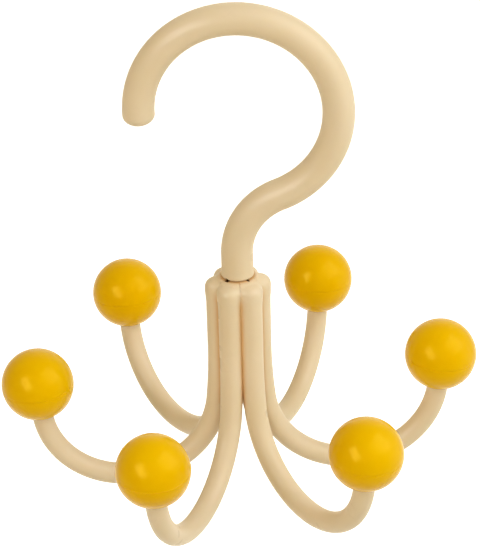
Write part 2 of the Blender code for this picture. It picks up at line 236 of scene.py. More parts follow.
@dataclass(frozen=True)
class ZincPlatedSteel:
    """Steel with a bright zinc plating: a grey metal with fine grain and a slightly blotched gloss."""

    name: str = "zinc_plated_steel"
    colour: str = "#c9cac8"
    roughness: float = 0.32
    roughness_spread: float = 0.08
    grain_width: float = 0.5 * MM       # plating grain is much finer, drawn coarse enough to show
    grain_depth: float = 0.003 * MM

    def build(self) -> Material:
        """Builds the material.

        Returns:
            The material, on Object coordinates.
        """
        made, shader, place = start_material(self.name, {"Metallic": 1.0,
                                                         "Base Color": linear_rgba(self.colour)})
        grain = add_noise(place, self.grain_width, 3.0)
        follow(shader, grain, self.roughness, self.roughness_spread, grain, self.grain_depth)
        return made


# Ivory pigment in a milky plastic: a broad weak sheen, and a painted shade of warm brown in the valleys
# between the rods, standing in for the light that has passed from wall to wall there.
CREAM = MouldedPolypropylene(
    name="cream_moulded_polypropylene", colour="#e5d3b8", shade="#e1ceaf", roughness=0.3,
    roughness_spread=0.04, ripple_depth=0.006 * MM, glow=0.1, gloss=0.085, painted_valley_shade="#dab382")

# Strong yellow pigment and a smoother mould: a deep even colour with a smaller, clearer highlight, which
# the pigment just under the skin tints.
YELLOW = MouldedPolypropylene(
    name="yellow_moulded_polypropylene", colour="#e9b900", shade="#e5b200", roughness=0.2,
    roughness_spread=0.03, ripple_depth=0.004 * MM, glow=0.12, gloss=0.1, gloss_tint="#ffe054")

# Bright zinc: a light grey metal, whose crystals blur and blotch what it mirrors.
ZINC = ZincPlatedSteel()


class RingModeller:
    """Models a round piece in edit mode from one ring, which is extruded, scaled and spun, then closed."""

    def __init__(self, name: str, centre: Vector, heading: Vector, radius: float, sides: int) -> None:
        """Adds the first ring and enters edit mode.

        Args:
            name: name of the object.
            centre: centre of the first ring.
            heading: direction of travel, a unit vector in the XZ plane.
            radius: radius of the first ring.
            sides: vertices of a ring.
        """
        tilt = atan2(heading.x, heading.z)
        bpy.ops.mesh.primitive_circle_add(vertices=sides, radius=radius, location=centre,
                                          rotation=(0, tilt, 0))
        self.made = bpy.context.object
        self.made.name = name
        self.made.data.name = name
        bpy.ops.object.transform_apply(location=True, rotation=True, scale=True)
        bpy.ops.object.mode_set(mode="EDIT")
        bpy.ops.mesh.select_all(action="SELECT")
        self.centre = centre.copy()
        self.heading = heading.copy()
        self.radius = radius

    def pole(self, height: float) -> None:
        """Closes the selected ring with a pole.

        Args:
            height: how far the pole lies along the heading, or behind the ring if negative.
        """
        bpy.ops.mesh.extrude_region_move()
        bpy.ops.mesh.merge(type="CENTER")
        bpy.ops.transform.translate(value=self.heading * height)

    def start_from_pole(self, height: float) -> None:
        """Closes the first ring behind it, and selects the ring again."""
        self.pole(-height)
        bpy.ops.mesh.select_all(action="INVERT")

    def step(self, length: float, radius: float) -> None:
        """Extrudes the ring along the heading and scales it.

        Args:
            length: distance along the heading.
            radius: radius of the new ring.
        """
        self.centre = self.centre + self.heading * length
        bpy.ops.mesh.extrude_region_move(TRANSFORM_OT_translate={"value": self.heading * length})
        if radius != self.radius:
            self.widen(radius)

    def widen(self, radius: float) -> None:
        """Scales the present ring to a radius."""
        scale = radius / self.radius
        bpy.ops.transform.resize(value=(scale, scale, scale), center_override=self.centre)
        self.radius = radius

    def steps(self, *rings: tuple[float, float]) -> None:
        """Extrudes the ring again and again, by the length and to the radius of each pair."""
        for length, radius in rings:
            self.step(length, radius)

    def straight(self, length: float, steps: int) -> None:
        """Extrudes the ring straight on, in even steps."""
        for _ in range(steps):
            self.step(length / steps, self.radius)

    def bend(self, centre: Vector, angle: float, steps: int) -> None:
        """Spins the ring round a bend in the XZ plane.

        Args:
            centre: centre of the bend.
            angle: turn of the bend, positive from +X towards +Z.
            steps: how many rings the bend takes.
        """
        bpy.ops.mesh.spin(steps=steps, angle=angle, center=centre, axis=(0, 1, 0))
        turn = Matrix.Rotation(-angle, 3, "Y")
        self.centre = centre + turn @ (self.centre - centre)
        self.heading = turn @ self.heading

    def tapered_bend(self, centre: Vector, angle: float, steps: int, radius: float) -> None:
        """Spins the ring round a bend, and scales each new ring until the last has its radius.

        Args:
            centre: centre of the bend.
            angle: turn of the bend, positive from +X towards +Z.
            steps: how many rings the bend takes.
            radius: radius of the last ring.
        """
        first = self.radius
        for number in range(1, steps + 1):
            self.bend(centre, angle / steps, 1)
            self.widen(first + (radius - first) * number / steps)

    def profile(self, points: Iterable[tuple[float, float]]) -> None:
        """Draws a turned outline.

        Args:
            points: (distance along the heading from the present ring, radius) of each new ring.
        """
        start = 0.0
        for length, radius in points:
            self.step(length - start, radius)
            start = length

    def close_bore(self) -> None:
        """Bridges the last ring to the first, which leaves a hole through the piece."""
        bpy.ops.mesh.select_all(action="DESELECT")
        bpy.ops.mesh.select_non_manifold()
        bpy.ops.mesh.bridge_edge_loops()

    def finish(self) -> Object:
        """Merges doubles, turns the faces outwards and leaves edit mode.

        Returns:
            The modelled object.
        """
        bpy.ops.mesh.select_all(action="SELECT")
        bpy.ops.mesh.remove_doubles(threshold=MERGE_DISTANCE)
        bpy.ops.mesh.normals_make_consistent(inside=False)
        bpy.ops.object.mode_set(mode="OBJECT")
        return self.made


def dome(height: float, radius: float, steps: int, first: int = 0) -> list[tuple[float, float]]:
    """Outline of a rounded end that widens along the heading.

    Args:
        height: height of the rounded end.
        radius: full radius.
        steps: rings of the rounding.
        first: number of the first ring that is given.

    Returns:
        (distance from the pole, radius) of each ring, from the pole's side.
    """
    turns = [pi / 2 * number / steps for number in range(first, steps + 1)]
    return [(height * (1 - cos(turn)), radius * sin(turn)) for turn in turns]


def select_only(obj: Object) -> None:
    """Selects one object and no other, and makes it the active one."""
    bpy.ops.object.select_all(action="DESELECT")
    bpy.context.view_layer.objects.active = obj
    obj.select_set(True)


def apply_modifier(obj: Object, name: str, kind: str, **settings) -> None:
    """Adds a modifier to an object and applies it.

    Args:
        obj: object that is modified.
        name: name of the modifier.
        kind: type of the modifier.
        settings: properties of the modifier.
    """
    select_only(obj)
    modifier = obj.modifiers.new(name, kind)
    for key, value in settings.items():
        setattr(modifier, key, value)
    bpy.ops.object.modifier_apply(modifier=name)


def carve(obj: Object, cutter: Object) -> None:
    """Cuts one object out of another and removes the cutter."""
    apply_modifier(obj, "carved", "BOOLEAN", operation="DIFFERENCE", object=cutter, solver="EXACT")
    bpy.data.objects.remove(cutter)


def slice_off(obj: Object, place: Vector, outwards: Vector) -> None:
    """Cuts away what lies beyond a plane and closes the cut.

    Args:
        obj: object that is cut.
        place: a point of the plane.
        outwards: normal of the plane, towards what goes.
    """
    select_only(obj)
    bpy.ops.object.mode_set(mode="EDIT")
    bpy.ops.mesh.select_all(action="SELECT")
    bpy.ops.mesh.bisect(plane_co=place, plane_no=outwards, use_fill=True, clear_outer=True)
    bpy.ops.object.mode_set(mode="OBJECT")


def upright_cutter(radius: float, low: float, high: float, sides: int) -> Object:
    """Adds a round cutter on the swivel axis, between two heights."""
    bpy.ops.mesh.primitive_cylinder_add(vertices=sides, radius=radius, depth=high - low,
                                        location=(0, 0, (low + high) / 2))
    return bpy.context.object


def turned_copy(obj: Object, name: str, angle: float) -> Object:
    """Copies an object with its own mesh and turns the copy about the swivel axis.

    Args:
        obj: object that is copied.
        name: name of the copy.
        angle: turn about +Z.

    Returns:
        The copy, at the origin and unturned, with its place in its mesh.
    """
    select_only(obj)
    bpy.ops.object.duplicate()
    made = bpy.context.object
    made.name = name
    made.data.name = name
    made.rotation_euler = (0, 0, angle)
    bpy.ops.object.transform_apply(location=True, rotation=True, scale=True)
    return made


def dress(obj: Object, body: str, node: str, material: Material) -> None:
    """Smooths a finished piece, gives it its material and ties it to the frame.

    Args:
        obj: finished piece.
        body: body that it rides on.
        node: node that it stands for.
        material: its finish.
    """
    select_only(obj)
    bpy.ops.object.shade_smooth_by_angle(angle=SHARP_ANGLE)
    obj.data.materials.clear()
    obj.data.materials.append(material)
    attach(obj, body)
    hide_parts(node)
    log.info("%s rides on %s: %d faces", obj.name, body, len(obj.data.polygons))


@dataclass(frozen=True)
class FootPits:
    """The two small hollows in the slit round the hook's foot, through the edges of foot and column."""

    height: float                       # of their axes
    turns: tuple[float, ...] = (radians(-127), radians(-46))
    radii: tuple[float, ...] = (0.75 * MM, 0.42 * MM)
    start: float = 3.7 * MM             # from the swivel axis
    end: float = 6.3 * MM
    sides: int = 24

    def sink(self, obj: Object, azimuth: float | None = None) -> None:
        """Sinks the pits into a piece, and marks their walls for the darkest painted shade.

        Args:
            obj: the hook, the hub or an arm.
            azimuth: where an arm stands, which has only the pit within its own sixth.
        """
        length = self.end - self.start
        for turn, radius in zip(self.turns, self.radii):
            if azimuth is not None and cos(turn - azimuth) < cos(SIXTH / 2):
                continue
            outwards = Vector((cos(turn), sin(turn), 0))
            middle = outwards * (self.start + self.end) / 2 + Vector((0, 0, self.height))
            bpy.ops.mesh.primitive_cylinder_add(vertices=self.sides, radius=radius, depth=length,
                                                location=middle, rotation=(0, pi / 2, turn))
            carve(obj, bpy.context.object)
            marks = obj.data.attributes.get(PAINTED_SHADE_ATTRIBUTE) or obj.data.attributes.new(PAINTED_SHADE_ATTRIBUTE, "FLOAT", "POINT")
            for vertex in obj.data.vertices:
                along = (vertex.co - middle).dot(outwards)
                off_axis = (vertex.co - middle - outwards * along).length
                if off_axis < radius + MERGE_DISTANCE and abs(along) < length / 2 + HAIRLINE:
                    # painted near-black shade on the pit's walls
                    marks.data[vertex.index].value = HOLLOW_SHADE_MARK


@dataclass
class Hook:
    """The bent rod with its rounded tip and foot, and the spigot that turns in the hub."""

    rod_radius: float = 5.65 * MM
    loop_radius: float = 34.4 * MM
    loop_offset: float = 1.85 * MM      # loop centre beyond the swivel axis
    tip_angle: float = radians(182)
    tip_cap: float = 3.8 * MM
    neck_radius: float = 25.2 * MM
    stem_length: float = 8.6 * MM
    foot_bead: float = 0.25 * MM        # how far the foot's soft bead stands out
    foot_bead_height: float = 2.4 * MM
    foot_rounding: float = 0.8 * MM
    spigot_radius: float = 2.9 * MM
    spigot_length: float = 40.3 * MM
    spigot_taper: float = 0.2 * MM      # how much thinner its end is
    taper_length: float = 2 * MM
    screw_hole_radius: float = 1.6 * MM
    screw_hole_depth: float = 15 * MM
    sides: int = 112
    tip_steps: int = 20
    loop_steps: int = 150
    neck_steps: int = 38
    stem_steps: int = 6
    foot_steps: int = 6
    spigot_steps: int = 4

    def loop_centre(self) -> Vector:
        """Centre of the loop, which puts the rail seat at the origin."""
        inner = self.loop_radius - self.rod_radius
        return Vector((self.loop_offset, 0, -sqrt(inner ** 2 - self.loop_offset ** 2)))

    def neck_centre(self) -> Vector:
        """Finds the bend that brings the rod back to the swivel axis.

        Returns:
            The bend's centre, in the hook's plane.
        """
        reach = self.loop_radius + self.neck_radius
        drop = sqrt(reach ** 2 - (self.neck_radius - self.loop_offset) ** 2)
        return Vector((self.neck_radius, 0, self.loop_centre().z - drop))

    def build(self, material: Material, pits: FootPits) -> None:
        """Models the hook from its tip to its spigot.

        Args:
            material: cream finish.
            pits: small hollows at the foot's edge.
        """
        loop_centre, neck_centre = self.loop_centre(), self.neck_centre()
        down_to_neck = neck_centre - loop_centre
        joint_angle = atan2(down_to_neck.z, down_to_neck.x)
        heading = Vector((sin(self.tip_angle), 0, -cos(self.tip_angle)))
        out = Vector((cos(self.tip_angle), 0, sin(self.tip_angle)))
        pole = loop_centre + out * self.loop_radius - heading * self.tip_cap

        rounding = dome(self.tip_cap, self.rod_radius, self.tip_steps, first=1)
        first_height, first_radius = rounding[0]
        rod = RingModeller("hook_rod", pole + heading * first_height, heading, first_radius, self.sides)
        rod.start_from_pole(first_height)
        rod.profile([(height - first_height, radius) for height, radius in rounding[1:]])
        rod.bend(loop_centre, joint_angle - self.tip_angle, self.loop_steps)
        rod.bend(neck_centre, -joint_angle, self.neck_steps)
        rod.straight(self.stem_length - self.foot_rounding - self.foot_bead_height, self.stem_steps)
        rod.profile([(self.foot_bead_height * share, self.rod_radius + self.foot_bead * share * share)
                     for share in (0.2, 0.4, 0.6, 0.8, 1.0)])
        foot = dome(self.foot_rounding, self.foot_rounding, self.foot_steps)
        foot_radius = self.rod_radius + self.foot_bead - self.foot_rounding
        rod.profile([(self.foot_rounding - height, foot_radius + width)
                     for height, width in reversed(foot[:-1])])
        rod.step(0, self.spigot_radius)
        rod.straight(self.spigot_length - self.taper_length, self.spigot_steps)
        rod.steps((self.taper_length, self.spigot_radius - self.spigot_taper), (0, self.screw_hole_radius),
                  (-self.screw_hole_depth, self.screw_hole_radius))
        rod.pole(-self.screw_hole_radius)
        hook = rod.finish()
        pits.sink(hook)
        dress(hook, HOOK_BODY, "hook", material)


@dataclass
class Column:
    """The hub and the six arms bonded round it, whose rods run into each other at the top."""

    top: float
    turn: float = radians(9.6)     # the first arm, from the hook's plane
    ring_radius: float = 7.3 * MM
    rod_radius: float = 4.2 * MM
    free_radius: float = 4.0 * MM       # the rod's radius where the flare ends
    end_radius: float = 3.8 * MM        # and in the ball
    arm_top_drop: float = 0.5 * MM      # the rods' rounded tops below the hub's
    straight: float = 26 * MM
    flare_radius: float = 206 * MM
    flare_angle: float = radians(6.6)
    inner_bend: float = 32.7 * MM
    outer_bend: float = 31 * MM
    end_lean: float = radians(4.6)
    end_length: float = 12.1 * MM
    socket_drop: float = 1.6 * MM       # the rod's end, below the ball's centre
    end_chamfer: float = 0.6 * MM
    crown_height: float = 3.7 * MM      # of each rod's rounded top, a little flatter than a ball
    crown_squareness: float = 2.7       # 2 is an ellipse, more is squarer
    swell: float = 0.3 * MM             # how much thicker the rods are at the top
    swell_depth: float = 6 * MM
    crown_fill: float = 2.4 * MM        # how softly neighbours run into each other at their rounded tops
    crown_fill_start: float = 1.2 * MM  # where that begins to fade, below the rods' tops
    crown_fill_depth: float = 2.6 * MM  # and how soon it has gone
    valley_fill: float = 1.0 * MM       # and how softly below them
    lower_fill: float = 0.45 * MM       # and further down
    fill_depth: float = 15 * MM         # from the one to the other
    valley_width: float = 1.3 * MM      # of the painted shade in the valleys, to each side
    seam_width: float = 1.1 * MM        # and of the painted shade on the shoulder, from the hook's foot outwards
    seam_shade_share: float = 0.45             # how much of the painted shade the shoulder takes
    shoulder_radius: float = 7.3 * MM   # low disc round the hook's foot, which the rods' tops run into
    shoulder_drop: float = 0.08 * MM
    shoulder_rounding: float = 0.9 * MM
    shoulder_fill: float = 1.2 * MM
    collar_radius: float = 6.2 * MM
    collar_height: float = 3 * MM
    barrel_apothem: float = 4.6 * MM
    flange_radius: float = 6.8 * MM
    flange_height: float = 2.4 * MM
    hub_height: float = 40 * MM
    bore_radius: float = 3.2 * MM
    seam_depth: float = 1 * MM          # how far down the collar's side the painted shade goes
    painted_shade_start: float = 0.3             # how deep the valleys' painted shade is at the rods' tops
    painted_shade_length: float = 6 * MM         # over which it would grow from nothing
    sides: int = 96
    room_sides: int = 144
    rod_sides: int = 192                # finer, so that the parting lines in the valleys are clean
    crown_steps: int = 22
    straight_steps: int = 30
    bend_steps: int = 44
    end_steps: int = 5
    search_rounds: int = 60             # steps towards the moulded surface
    search_share: float = 0.7           # and how much of the distance each goes

    def arm_top(self) -> float:
        """Height of the rods' rounded tops, before they run into each other."""
        return self.top - self.arm_top_drop

    def flare_centre(self) -> Vector:
        """Centre of the slow bend by which an arm leaves the column."""
        return Vector((self.ring_radius + self.flare_radius, 0, self.arm_top() - self.straight))

    def ball_place(self) -> Vector:
        """Follows an arm from the column to its ball.

        Returns:
            Centre of a ball in the plane of azimuth zero.
        """
        towards = Vector((cos(self.flare_angle), 0, sin(self.flare_angle)))
        flare_end = self.flare_centre() - towards * self.flare_radius
        low = flare_end + towards * self.inner_bend - Vector((0, 0, self.inner_bend))
        across = self.outer_bend * cos(self.end_lean)
        raised = self.outer_bend * (1 - sin(self.end_lean))
        along = Vector((sin(self.end_lean), 0, cos(self.end_lean)))
        return low + Vector((across, 0, raised)) + along * self.end_length

    def arm_rod(self) -> Object:
        """Draws one arm's rod in the plane of azimuth zero.

        Returns:
            The closed rod, from its rounded top to its end in the ball.
        """
        down = Vector((0, 0, -1))
        rounding = dome(self.crown_height, self.rod_radius, self.crown_steps, first=1)
        first_height, first_radius = rounding[0]
        crown = self.arm_top() - self.rod_radius + self.crown_height
        start = Vector((self.ring_radius, 0, crown - first_height))
        rod = RingModeller("arm_rod", start, down, first_radius, self.rod_sides)
        rod.start_from_pole(first_height)
        rod.profile([(height - first_height, radius) for height, radius in rounding[1:]])
        rod.straight(self.straight - self.rod_radius, self.straight_steps)
        rod.tapered_bend(self.flare_centre(), self.flare_angle, self.bend_steps, self.free_radius)
        towards = Vector((cos(self.flare_angle), 0, sin(self.flare_angle)))
        halfway = (self.free_radius + self.end_radius) / 2
        for centre, lean, radius in ((towards * self.inner_bend, self.flare_angle, halfway),
                                     (Vector((0, 0, self.outer_bend)), self.end_lean, self.end_radius)):
            rod.tapered_bend(rod.centre + centre, pi / 2 - lean, self.bend_steps, radius)
        rod.straight(self.end_length - self.socket_drop - self.end_chamfer, self.end_steps)
        rod.step(self.end_chamfer, self.end_radius - self.end_chamfer)
        rod.pole(0)
        return rod.finish()

    def rod_distance(self, points: np.ndarray) -> np.ndarray:
        """Measures how far points are from the surface of the rod at azimuth zero, in the column.

        Args:
            points: rows of x, y and z.

        Returns:
            A distance for each row, negative inside the rod.
        """
        x, y, z = points.T
        crown = self.arm_top() - self.rod_radius
        bend = self.arm_top() - self.straight
        above = np.maximum(z - crown, 0) * self.rod_radius / self.crown_height
        power = self.crown_squareness
        straight = (np.hypot(x - self.ring_radius, y) ** power + above ** power) ** (1 / power)
        straight -= self.swell * self.eased((z - crown) / self.swell_depth + 1)
        centre = self.flare_centre()
        reach = np.hypot(x - centre.x, z - centre.z)
        flared = np.hypot(reach - self.flare_radius, y)
        share = np.clip((bend - z) / (self.flare_radius * sin(self.flare_angle)), 0, 1)
        radius = self.rod_radius + (self.free_radius - self.rod_radius) * share
        return np.where(z > bend, straight, flared) - radius

    @staticmethod
    def eased(share: np.ndarray) -> np.ndarray:
        """Goes from 0 to 1 with soft ends."""
        share = np.clip(share, 0, 1)
        return share * share * (3 - 2 * share)

    def shoulder_distance(self, points: np.ndarray) -> np.ndarray:
        """Distance of points from the rounded disc that closes the column's top."""
        x, y, z = points.T
        across = np.hypot(x, y) - (self.shoulder_radius - self.shoulder_rounding)
        up = z - (self.top - self.shoulder_drop - self.shoulder_rounding)
        outside = np.hypot(np.maximum(across, 0), np.maximum(up, 0))
        disc = outside + np.minimum(np.maximum(across, up), 0) - self.shoulder_rounding
        underside = self.top - self.shoulder_drop - self.collar_height - self.rod_radius
        return np.maximum(disc, underside - z)

    @staticmethod
    def run_together(first: np.ndarray, second: np.ndarray, fill: np.ndarray | float) -> np.ndarray:
        """Joins two distances with a soft valley.

        Args:
            first: distances from one surface.
            second: distances from the other.
            fill: width over which the surfaces run together.

        Returns:
            Distances from the joined surface.
        """
        overlap = np.maximum(fill - np.abs(first - second), 0)
        return np.minimum(first, second) - overlap ** 2 / (4 * np.maximum(fill, MERGE_DISTANCE))

    def moulded_distance(self, points: np.ndarray) -> np.ndarray:
        """Distance of points from the column's moulded surface, near the arm at azimuth zero."""
        depth = self.arm_top() - points[:, 2] - self.rod_radius
        fill = self.valley_fill + (self.lower_fill - self.valley_fill) * self.eased(depth / self.fill_depth)
        below_top = self.arm_top() - points[:, 2] - self.crown_fill_start
        near_top = 1 - self.eased(below_top / self.crown_fill_depth)
        fill += (self.crown_fill - self.valley_fill) * near_top
        joined = self.rod_distance(points)
        for turn in NEIGHBOUR_TURNS:
            joined = self.run_together(joined, self.rod_distance(points @ turn), fill)
        return self.run_together(joined, self.shoulder_distance(points), self.shoulder_fill)

    def valley_painted_shade(self, points: np.ndarray) -> np.ndarray:
        """Tells how much painted shade points of a rod's skin take: most at the bottom of a valley between
        two rods, some on the shoulder.

        Args:
            points: rows of x, y and z.

        Returns:
            A share for each row, 1 at the bottom of a valley.
        """
        own = self.rod_distance(points)
        nearest = np.minimum(*(self.rod_distance(points @ turn) for turn in NEIGHBOUR_TURNS))
        below = self.arm_top() - self.crown_height - points[:, 2]
        growth = self.eased(below / self.painted_shade_length + self.painted_shade_start)
        valley = np.exp(-((nearest - own) / self.valley_width) ** 2) * growth
        beside = np.hypot(points[:, 0], points[:, 1]) - self.collar_radius
        # painted shade on the shoulder, round the crease at the hook's foot
        seam = self.seam_shade_share * np.exp(-(np.maximum(beside, 0) / self.seam_width) ** 2) * (below < 0)
        return np.maximum(valley, seam)

    def mould_into_column(self, rod: Object) -> None:
        """Moves the rod's skin in the column out to where it runs into its neighbours and the top.

        The skin goes no further than the upright planes halfway to the neighbours.

        Args:
            rod: an arm's rod at azimuth zero.
        """
        flat = np.empty(len(rod.data.vertices) * 3, np.float32)
        rod.data.vertices.foreach_get("co", flat)
        points = flat.reshape(-1, 3).astype(float)
        column_end = self.flare_centre().z - self.flare_radius * sin(self.flare_angle)
        chosen = np.nonzero((points[:, 2] > column_end) & (points[:, 0] < 3 * self.ring_radius))[0]
        spots = points[chosen]
        centres = np.zeros_like(spots)
        centres[:, 0] = self.ring_radius
        centres[:, 2] = np.minimum(spots[:, 2], self.arm_top() - self.rod_radius)
        flare = self.flare_centre()
        flared = spots[:, 2] < flare.z
        reach = np.hypot(spots[:, 0] - flare.x, spots[:, 2] - flare.z)
        centres[flared, 0] = flare.x + (spots[flared, 0] - flare.x) * self.flare_radius / reach[flared]
        centres[flared, 2] = flare.z + (spots[flared, 2] - flare.z) * self.flare_radius / reach[flared]

        away = spots - centres
        own = np.linalg.norm(away, axis=1)
        away /= own[:, None]
        travel = own.copy()
        for _ in range(self.search_rounds):
            travel -= self.search_share * self.moulded_distance(centres + away * travel[:, None])
            travel = np.clip(travel, own, 3 * self.rod_radius)
        for side in (-1, 1):
            normal = np.array((-0.5, side * sqrt(0.75), 0))
            towards = away @ normal
            apart = np.maximum(towards, NEARLY_NOTHING)
            room = np.where(towards > NEARLY_NOTHING, -(centres @ normal) / apart, 1.0)
            travel = np.minimum(travel, room - HAIRLINE / 2)
        points[chosen] = centres + away * travel[:, None]
        rod.data.vertices.foreach_set("co", points.astype(np.float32).ravel())
        # Painted shade: the attribute browns the skin in the valleys and on the shoulder round the hook's
        # foot.
        depth = np.zeros(len(points), np.float32)
        depth[chosen] = self.valley_painted_shade(points[chosen])
        rod.data.attributes.new(PAINTED_SHADE_ATTRIBUTE, "FLOAT", "POINT").data.foreach_set("value", depth)
        rod.data.update()

    def build_arms(self, material: Material, pits: FootPits) -> None:
        """Models one arm and copies it round the column.

        Args:
            material: cream finish.
            pits: small hollows, whose ends reach the front arms.
        """
        rod = self.arm_rod()
        self.mould_into_column(rod)
        slice_off(rod, Vector((self.barrel_apothem + HAIRLINE, 0, 0)), Vector((-1, 0, 0)))
        carve(rod, upright_cutter(self.collar_radius + HAIRLINE, self.top - self.collar_height,
                                  self.top + CUT_OVERRUN, self.room_sides))
        bottom = self.top - self.hub_height
        carve(rod, upright_cutter(self.flange_radius + HAIRLINE, bottom - HAIRLINE,
                                  bottom + self.flange_height + HAIRLINE, self.sides))
        for number, place in enumerate(ArmPlace):
            azimuth = self.turn + number * SIXTH
            arm = turned_copy(rod, f"rod_arm_{place.value}", azimuth)
            pits.sink(arm, azimuth)
            dress(arm, ARM_BODY, f"arm_{place.value}", material)
        bpy.data.objects.remove(rod)

    def build_hub(self, material: Material, pits: FootPits) -> None:
        """Models the spool inside the column: collar, round barrel and flange, with the bore.

        Args:
            material: cream finish.
            pits: small hollows at the collar's edge.
        """
        spool = RingModeller("column_hub", Vector((0, 0, self.top)), Vector((0, 0, -1)),
                             self.bore_radius, self.sides)
        barrel_length = self.hub_height - self.collar_height - self.flange_height
        spool.steps((0, self.collar_radius - EDGE), (EDGE, self.collar_radius),
                    (self.collar_height - 2 * EDGE, self.collar_radius), (0, self.barrel_apothem),
                    (barrel_length, self.barrel_apothem), (0, self.flange_radius),
                    (self.flange_height, self.flange_radius), (0, self.bore_radius))
        spool.close_bore()
        hub = spool.finish()
        # Painted shade on the collar's top edge, in the crease under the hook's foot.
        seam = hub.data.attributes.new(PAINTED_SHADE_ATTRIBUTE, "FLOAT", "POINT")
        seam.data.foreach_set("value", [float(vertex.co.z > self.top - self.seam_depth)
                                        for vertex in hub.data.vertices])
        pits.sink(hub)
        dress(hub, ARM_BODY, "hub", material)


# A bead's outline: share of its width from its start, and share of its height.
FLASH_OUTLINE = ((0.25, 0.7), (0.5, 1.0), (0.75, 0.7), (1.0, 0.0))


@dataclass
class Ball:
    """One ball on an arm's raised end: a lower shell with a socket and an upper shell with a lip."""

    centre: Vector
    lean: float
    socket_radius: float
    radius: float = 12.95 * MM
    wall: float = 2 * MM
    rim_rounding: float = 0.1 * MM
    flash_height: float = 0.14 * MM     # of the fine bead that the mould left on one ball's seam
    flash_width: float = 0.5 * MM
    flash_place: ArmPlace = ArmPlace.FRONT_LEFT
    lip_height: float = 1.5 * MM
    lip_thickness: float = 0.9 * MM
    socket_wall: float = 1.3 * MM
    sharp_rim: float = radians(50)
    sides: int = 112
    steps: int = 36
    inner_steps: int = 12
    rim_segments: int = 3

    def start_shell(self, name: str, upwards: bool, height: float, radius: float) -> RingModeller:
        """Draws the first ring of a half shell, which is modelled from its pole's side to its rim.

        Args:
            name: name of the object.
            upwards: True for the upper shell.
            height: distance of the ring from the ball's pole.
            radius: radius of the ring.

        Returns:
            The modeller.
        """
        lean_axis = Vector((sin(self.lean), 0, cos(self.lean)))
        heading = -lean_axis if upwards else lean_axis
        place = self.centre - heading * (self.radius - height)
        return RingModeller(name, place, heading, radius, self.sides)

    def finish_shell(self, shell: RingModeller) -> Object:
        """Ends a half shell and rounds its rims."""
        made = shell.finish()
        apply_modifier(made, "rounded_rims", "BEVEL", width=self.rim_rounding, segments=self.rim_segments,
                       limit_method="ANGLE", angle_limit=self.sharp_rim, use_clamp_overlap=True)
        return made

    def upper_shell(self, flash: bool) -> Object:
        """Models an upper shell, whose lip enters the lower one.

        Args:
            flash: True for a shell with the mould's bead at its seam.

        Returns:
            The closed half shell.
        """
        outer = dome(self.radius, self.radius, self.steps, first=1)
        first_height, first_radius = outer[0]
        shell = self.start_shell("upper_shell", True, first_height, first_radius)
        shell.start_from_pole(first_height)
        shell.profile([(height - first_height, radius) for height, radius in outer[1:-1]])
        last = self.radius - outer[-2][0] - HAIRLINE / 2
        if flash:
            shell.step(last - self.flash_width, self.radius)
            shell.profile([(self.flash_width * share, self.radius + self.flash_height * rise)
                           for share, rise in FLASH_OUTLINE])
        else:
            shell.step(last, self.radius)
        inner = self.radius - self.wall
        lip = inner + self.lip_thickness
        shell.steps((0, lip), (self.lip_height, lip), (0, inner), (-self.lip_height, inner))
        back = dome(inner, inner, self.inner_steps, first=1)
        shell.profile([(-(inner - height), radius) for height, radius in reversed(back[:-1])])
        shell.pole(-back[0][0])
        return self.finish_shell(shell)

    def lower_shell(self) -> Object:
        """Models a lower shell with a ledge for the lip and a socket for the arm's end.

        Returns:
            The closed half shell.
        """
        start = asin(self.socket_radius / self.radius)
        turns = [start + (pi / 2 - start) * number / self.steps for number in range(self.steps + 1)]
        heights = [self.radius * (1 - cos(turn)) for turn in turns]
        shell = self.start_shell("lower_shell", False, heights[0], self.socket_radius)
        shell.profile([(height - heights[0], self.radius * sin(turn))
                       for height, turn in zip(heights[1:-1], turns[1:-1])])
        shell.step(self.radius - heights[-2] - HAIRLINE / 2, self.radius)
        inner = self.radius - self.wall
        ledge = inner + self.lip_thickness + HAIRLINE
        shell.steps((0, ledge), (-self.lip_height, ledge), (0, sqrt(inner ** 2 - self.lip_height ** 2)))
        tube = self.socket_radius + self.socket_wall
        stop = asin(tube / inner)
        begin = acos(self.lip_height / inner)
        turns = [begin - (begin - stop) * number / self.inner_steps
                 for number in range(1, self.inner_steps + 1)]
        shell.profile([(self.lip_height - inner * cos(turn), inner * sin(turn)) for turn in turns])
        shell.steps((inner * cos(stop) - self.socket_wall, tube), (0, self.socket_radius))
        shell.close_bore()
        return self.finish_shell(shell)

    def build(self, turn: float, material: Material) -> None:
        """Models the shells and copies them to the six arms.

        Args:
            turn: azimuth of the first arm.
            material: yellow finish.
        """
        lower = self.lower_shell()
        upper, flashed = self.upper_shell(flash=False), self.upper_shell(flash=True)
        for half, plain, on_flash_place in (("lower", lower, lower), ("upper", upper, flashed)):
            for number, place in enumerate(ArmPlace):
                shell = on_flash_place if place is self.flash_place else plain
                made = turned_copy(shell, f"{half}_shell_{place.value}", turn + number * SIXTH)
                dress(made, ARM_BODY, f"ball_{half}_{place.value}", material)
        for shell in (lower, upper, flashed):
            bpy.data.objects.remove(shell)


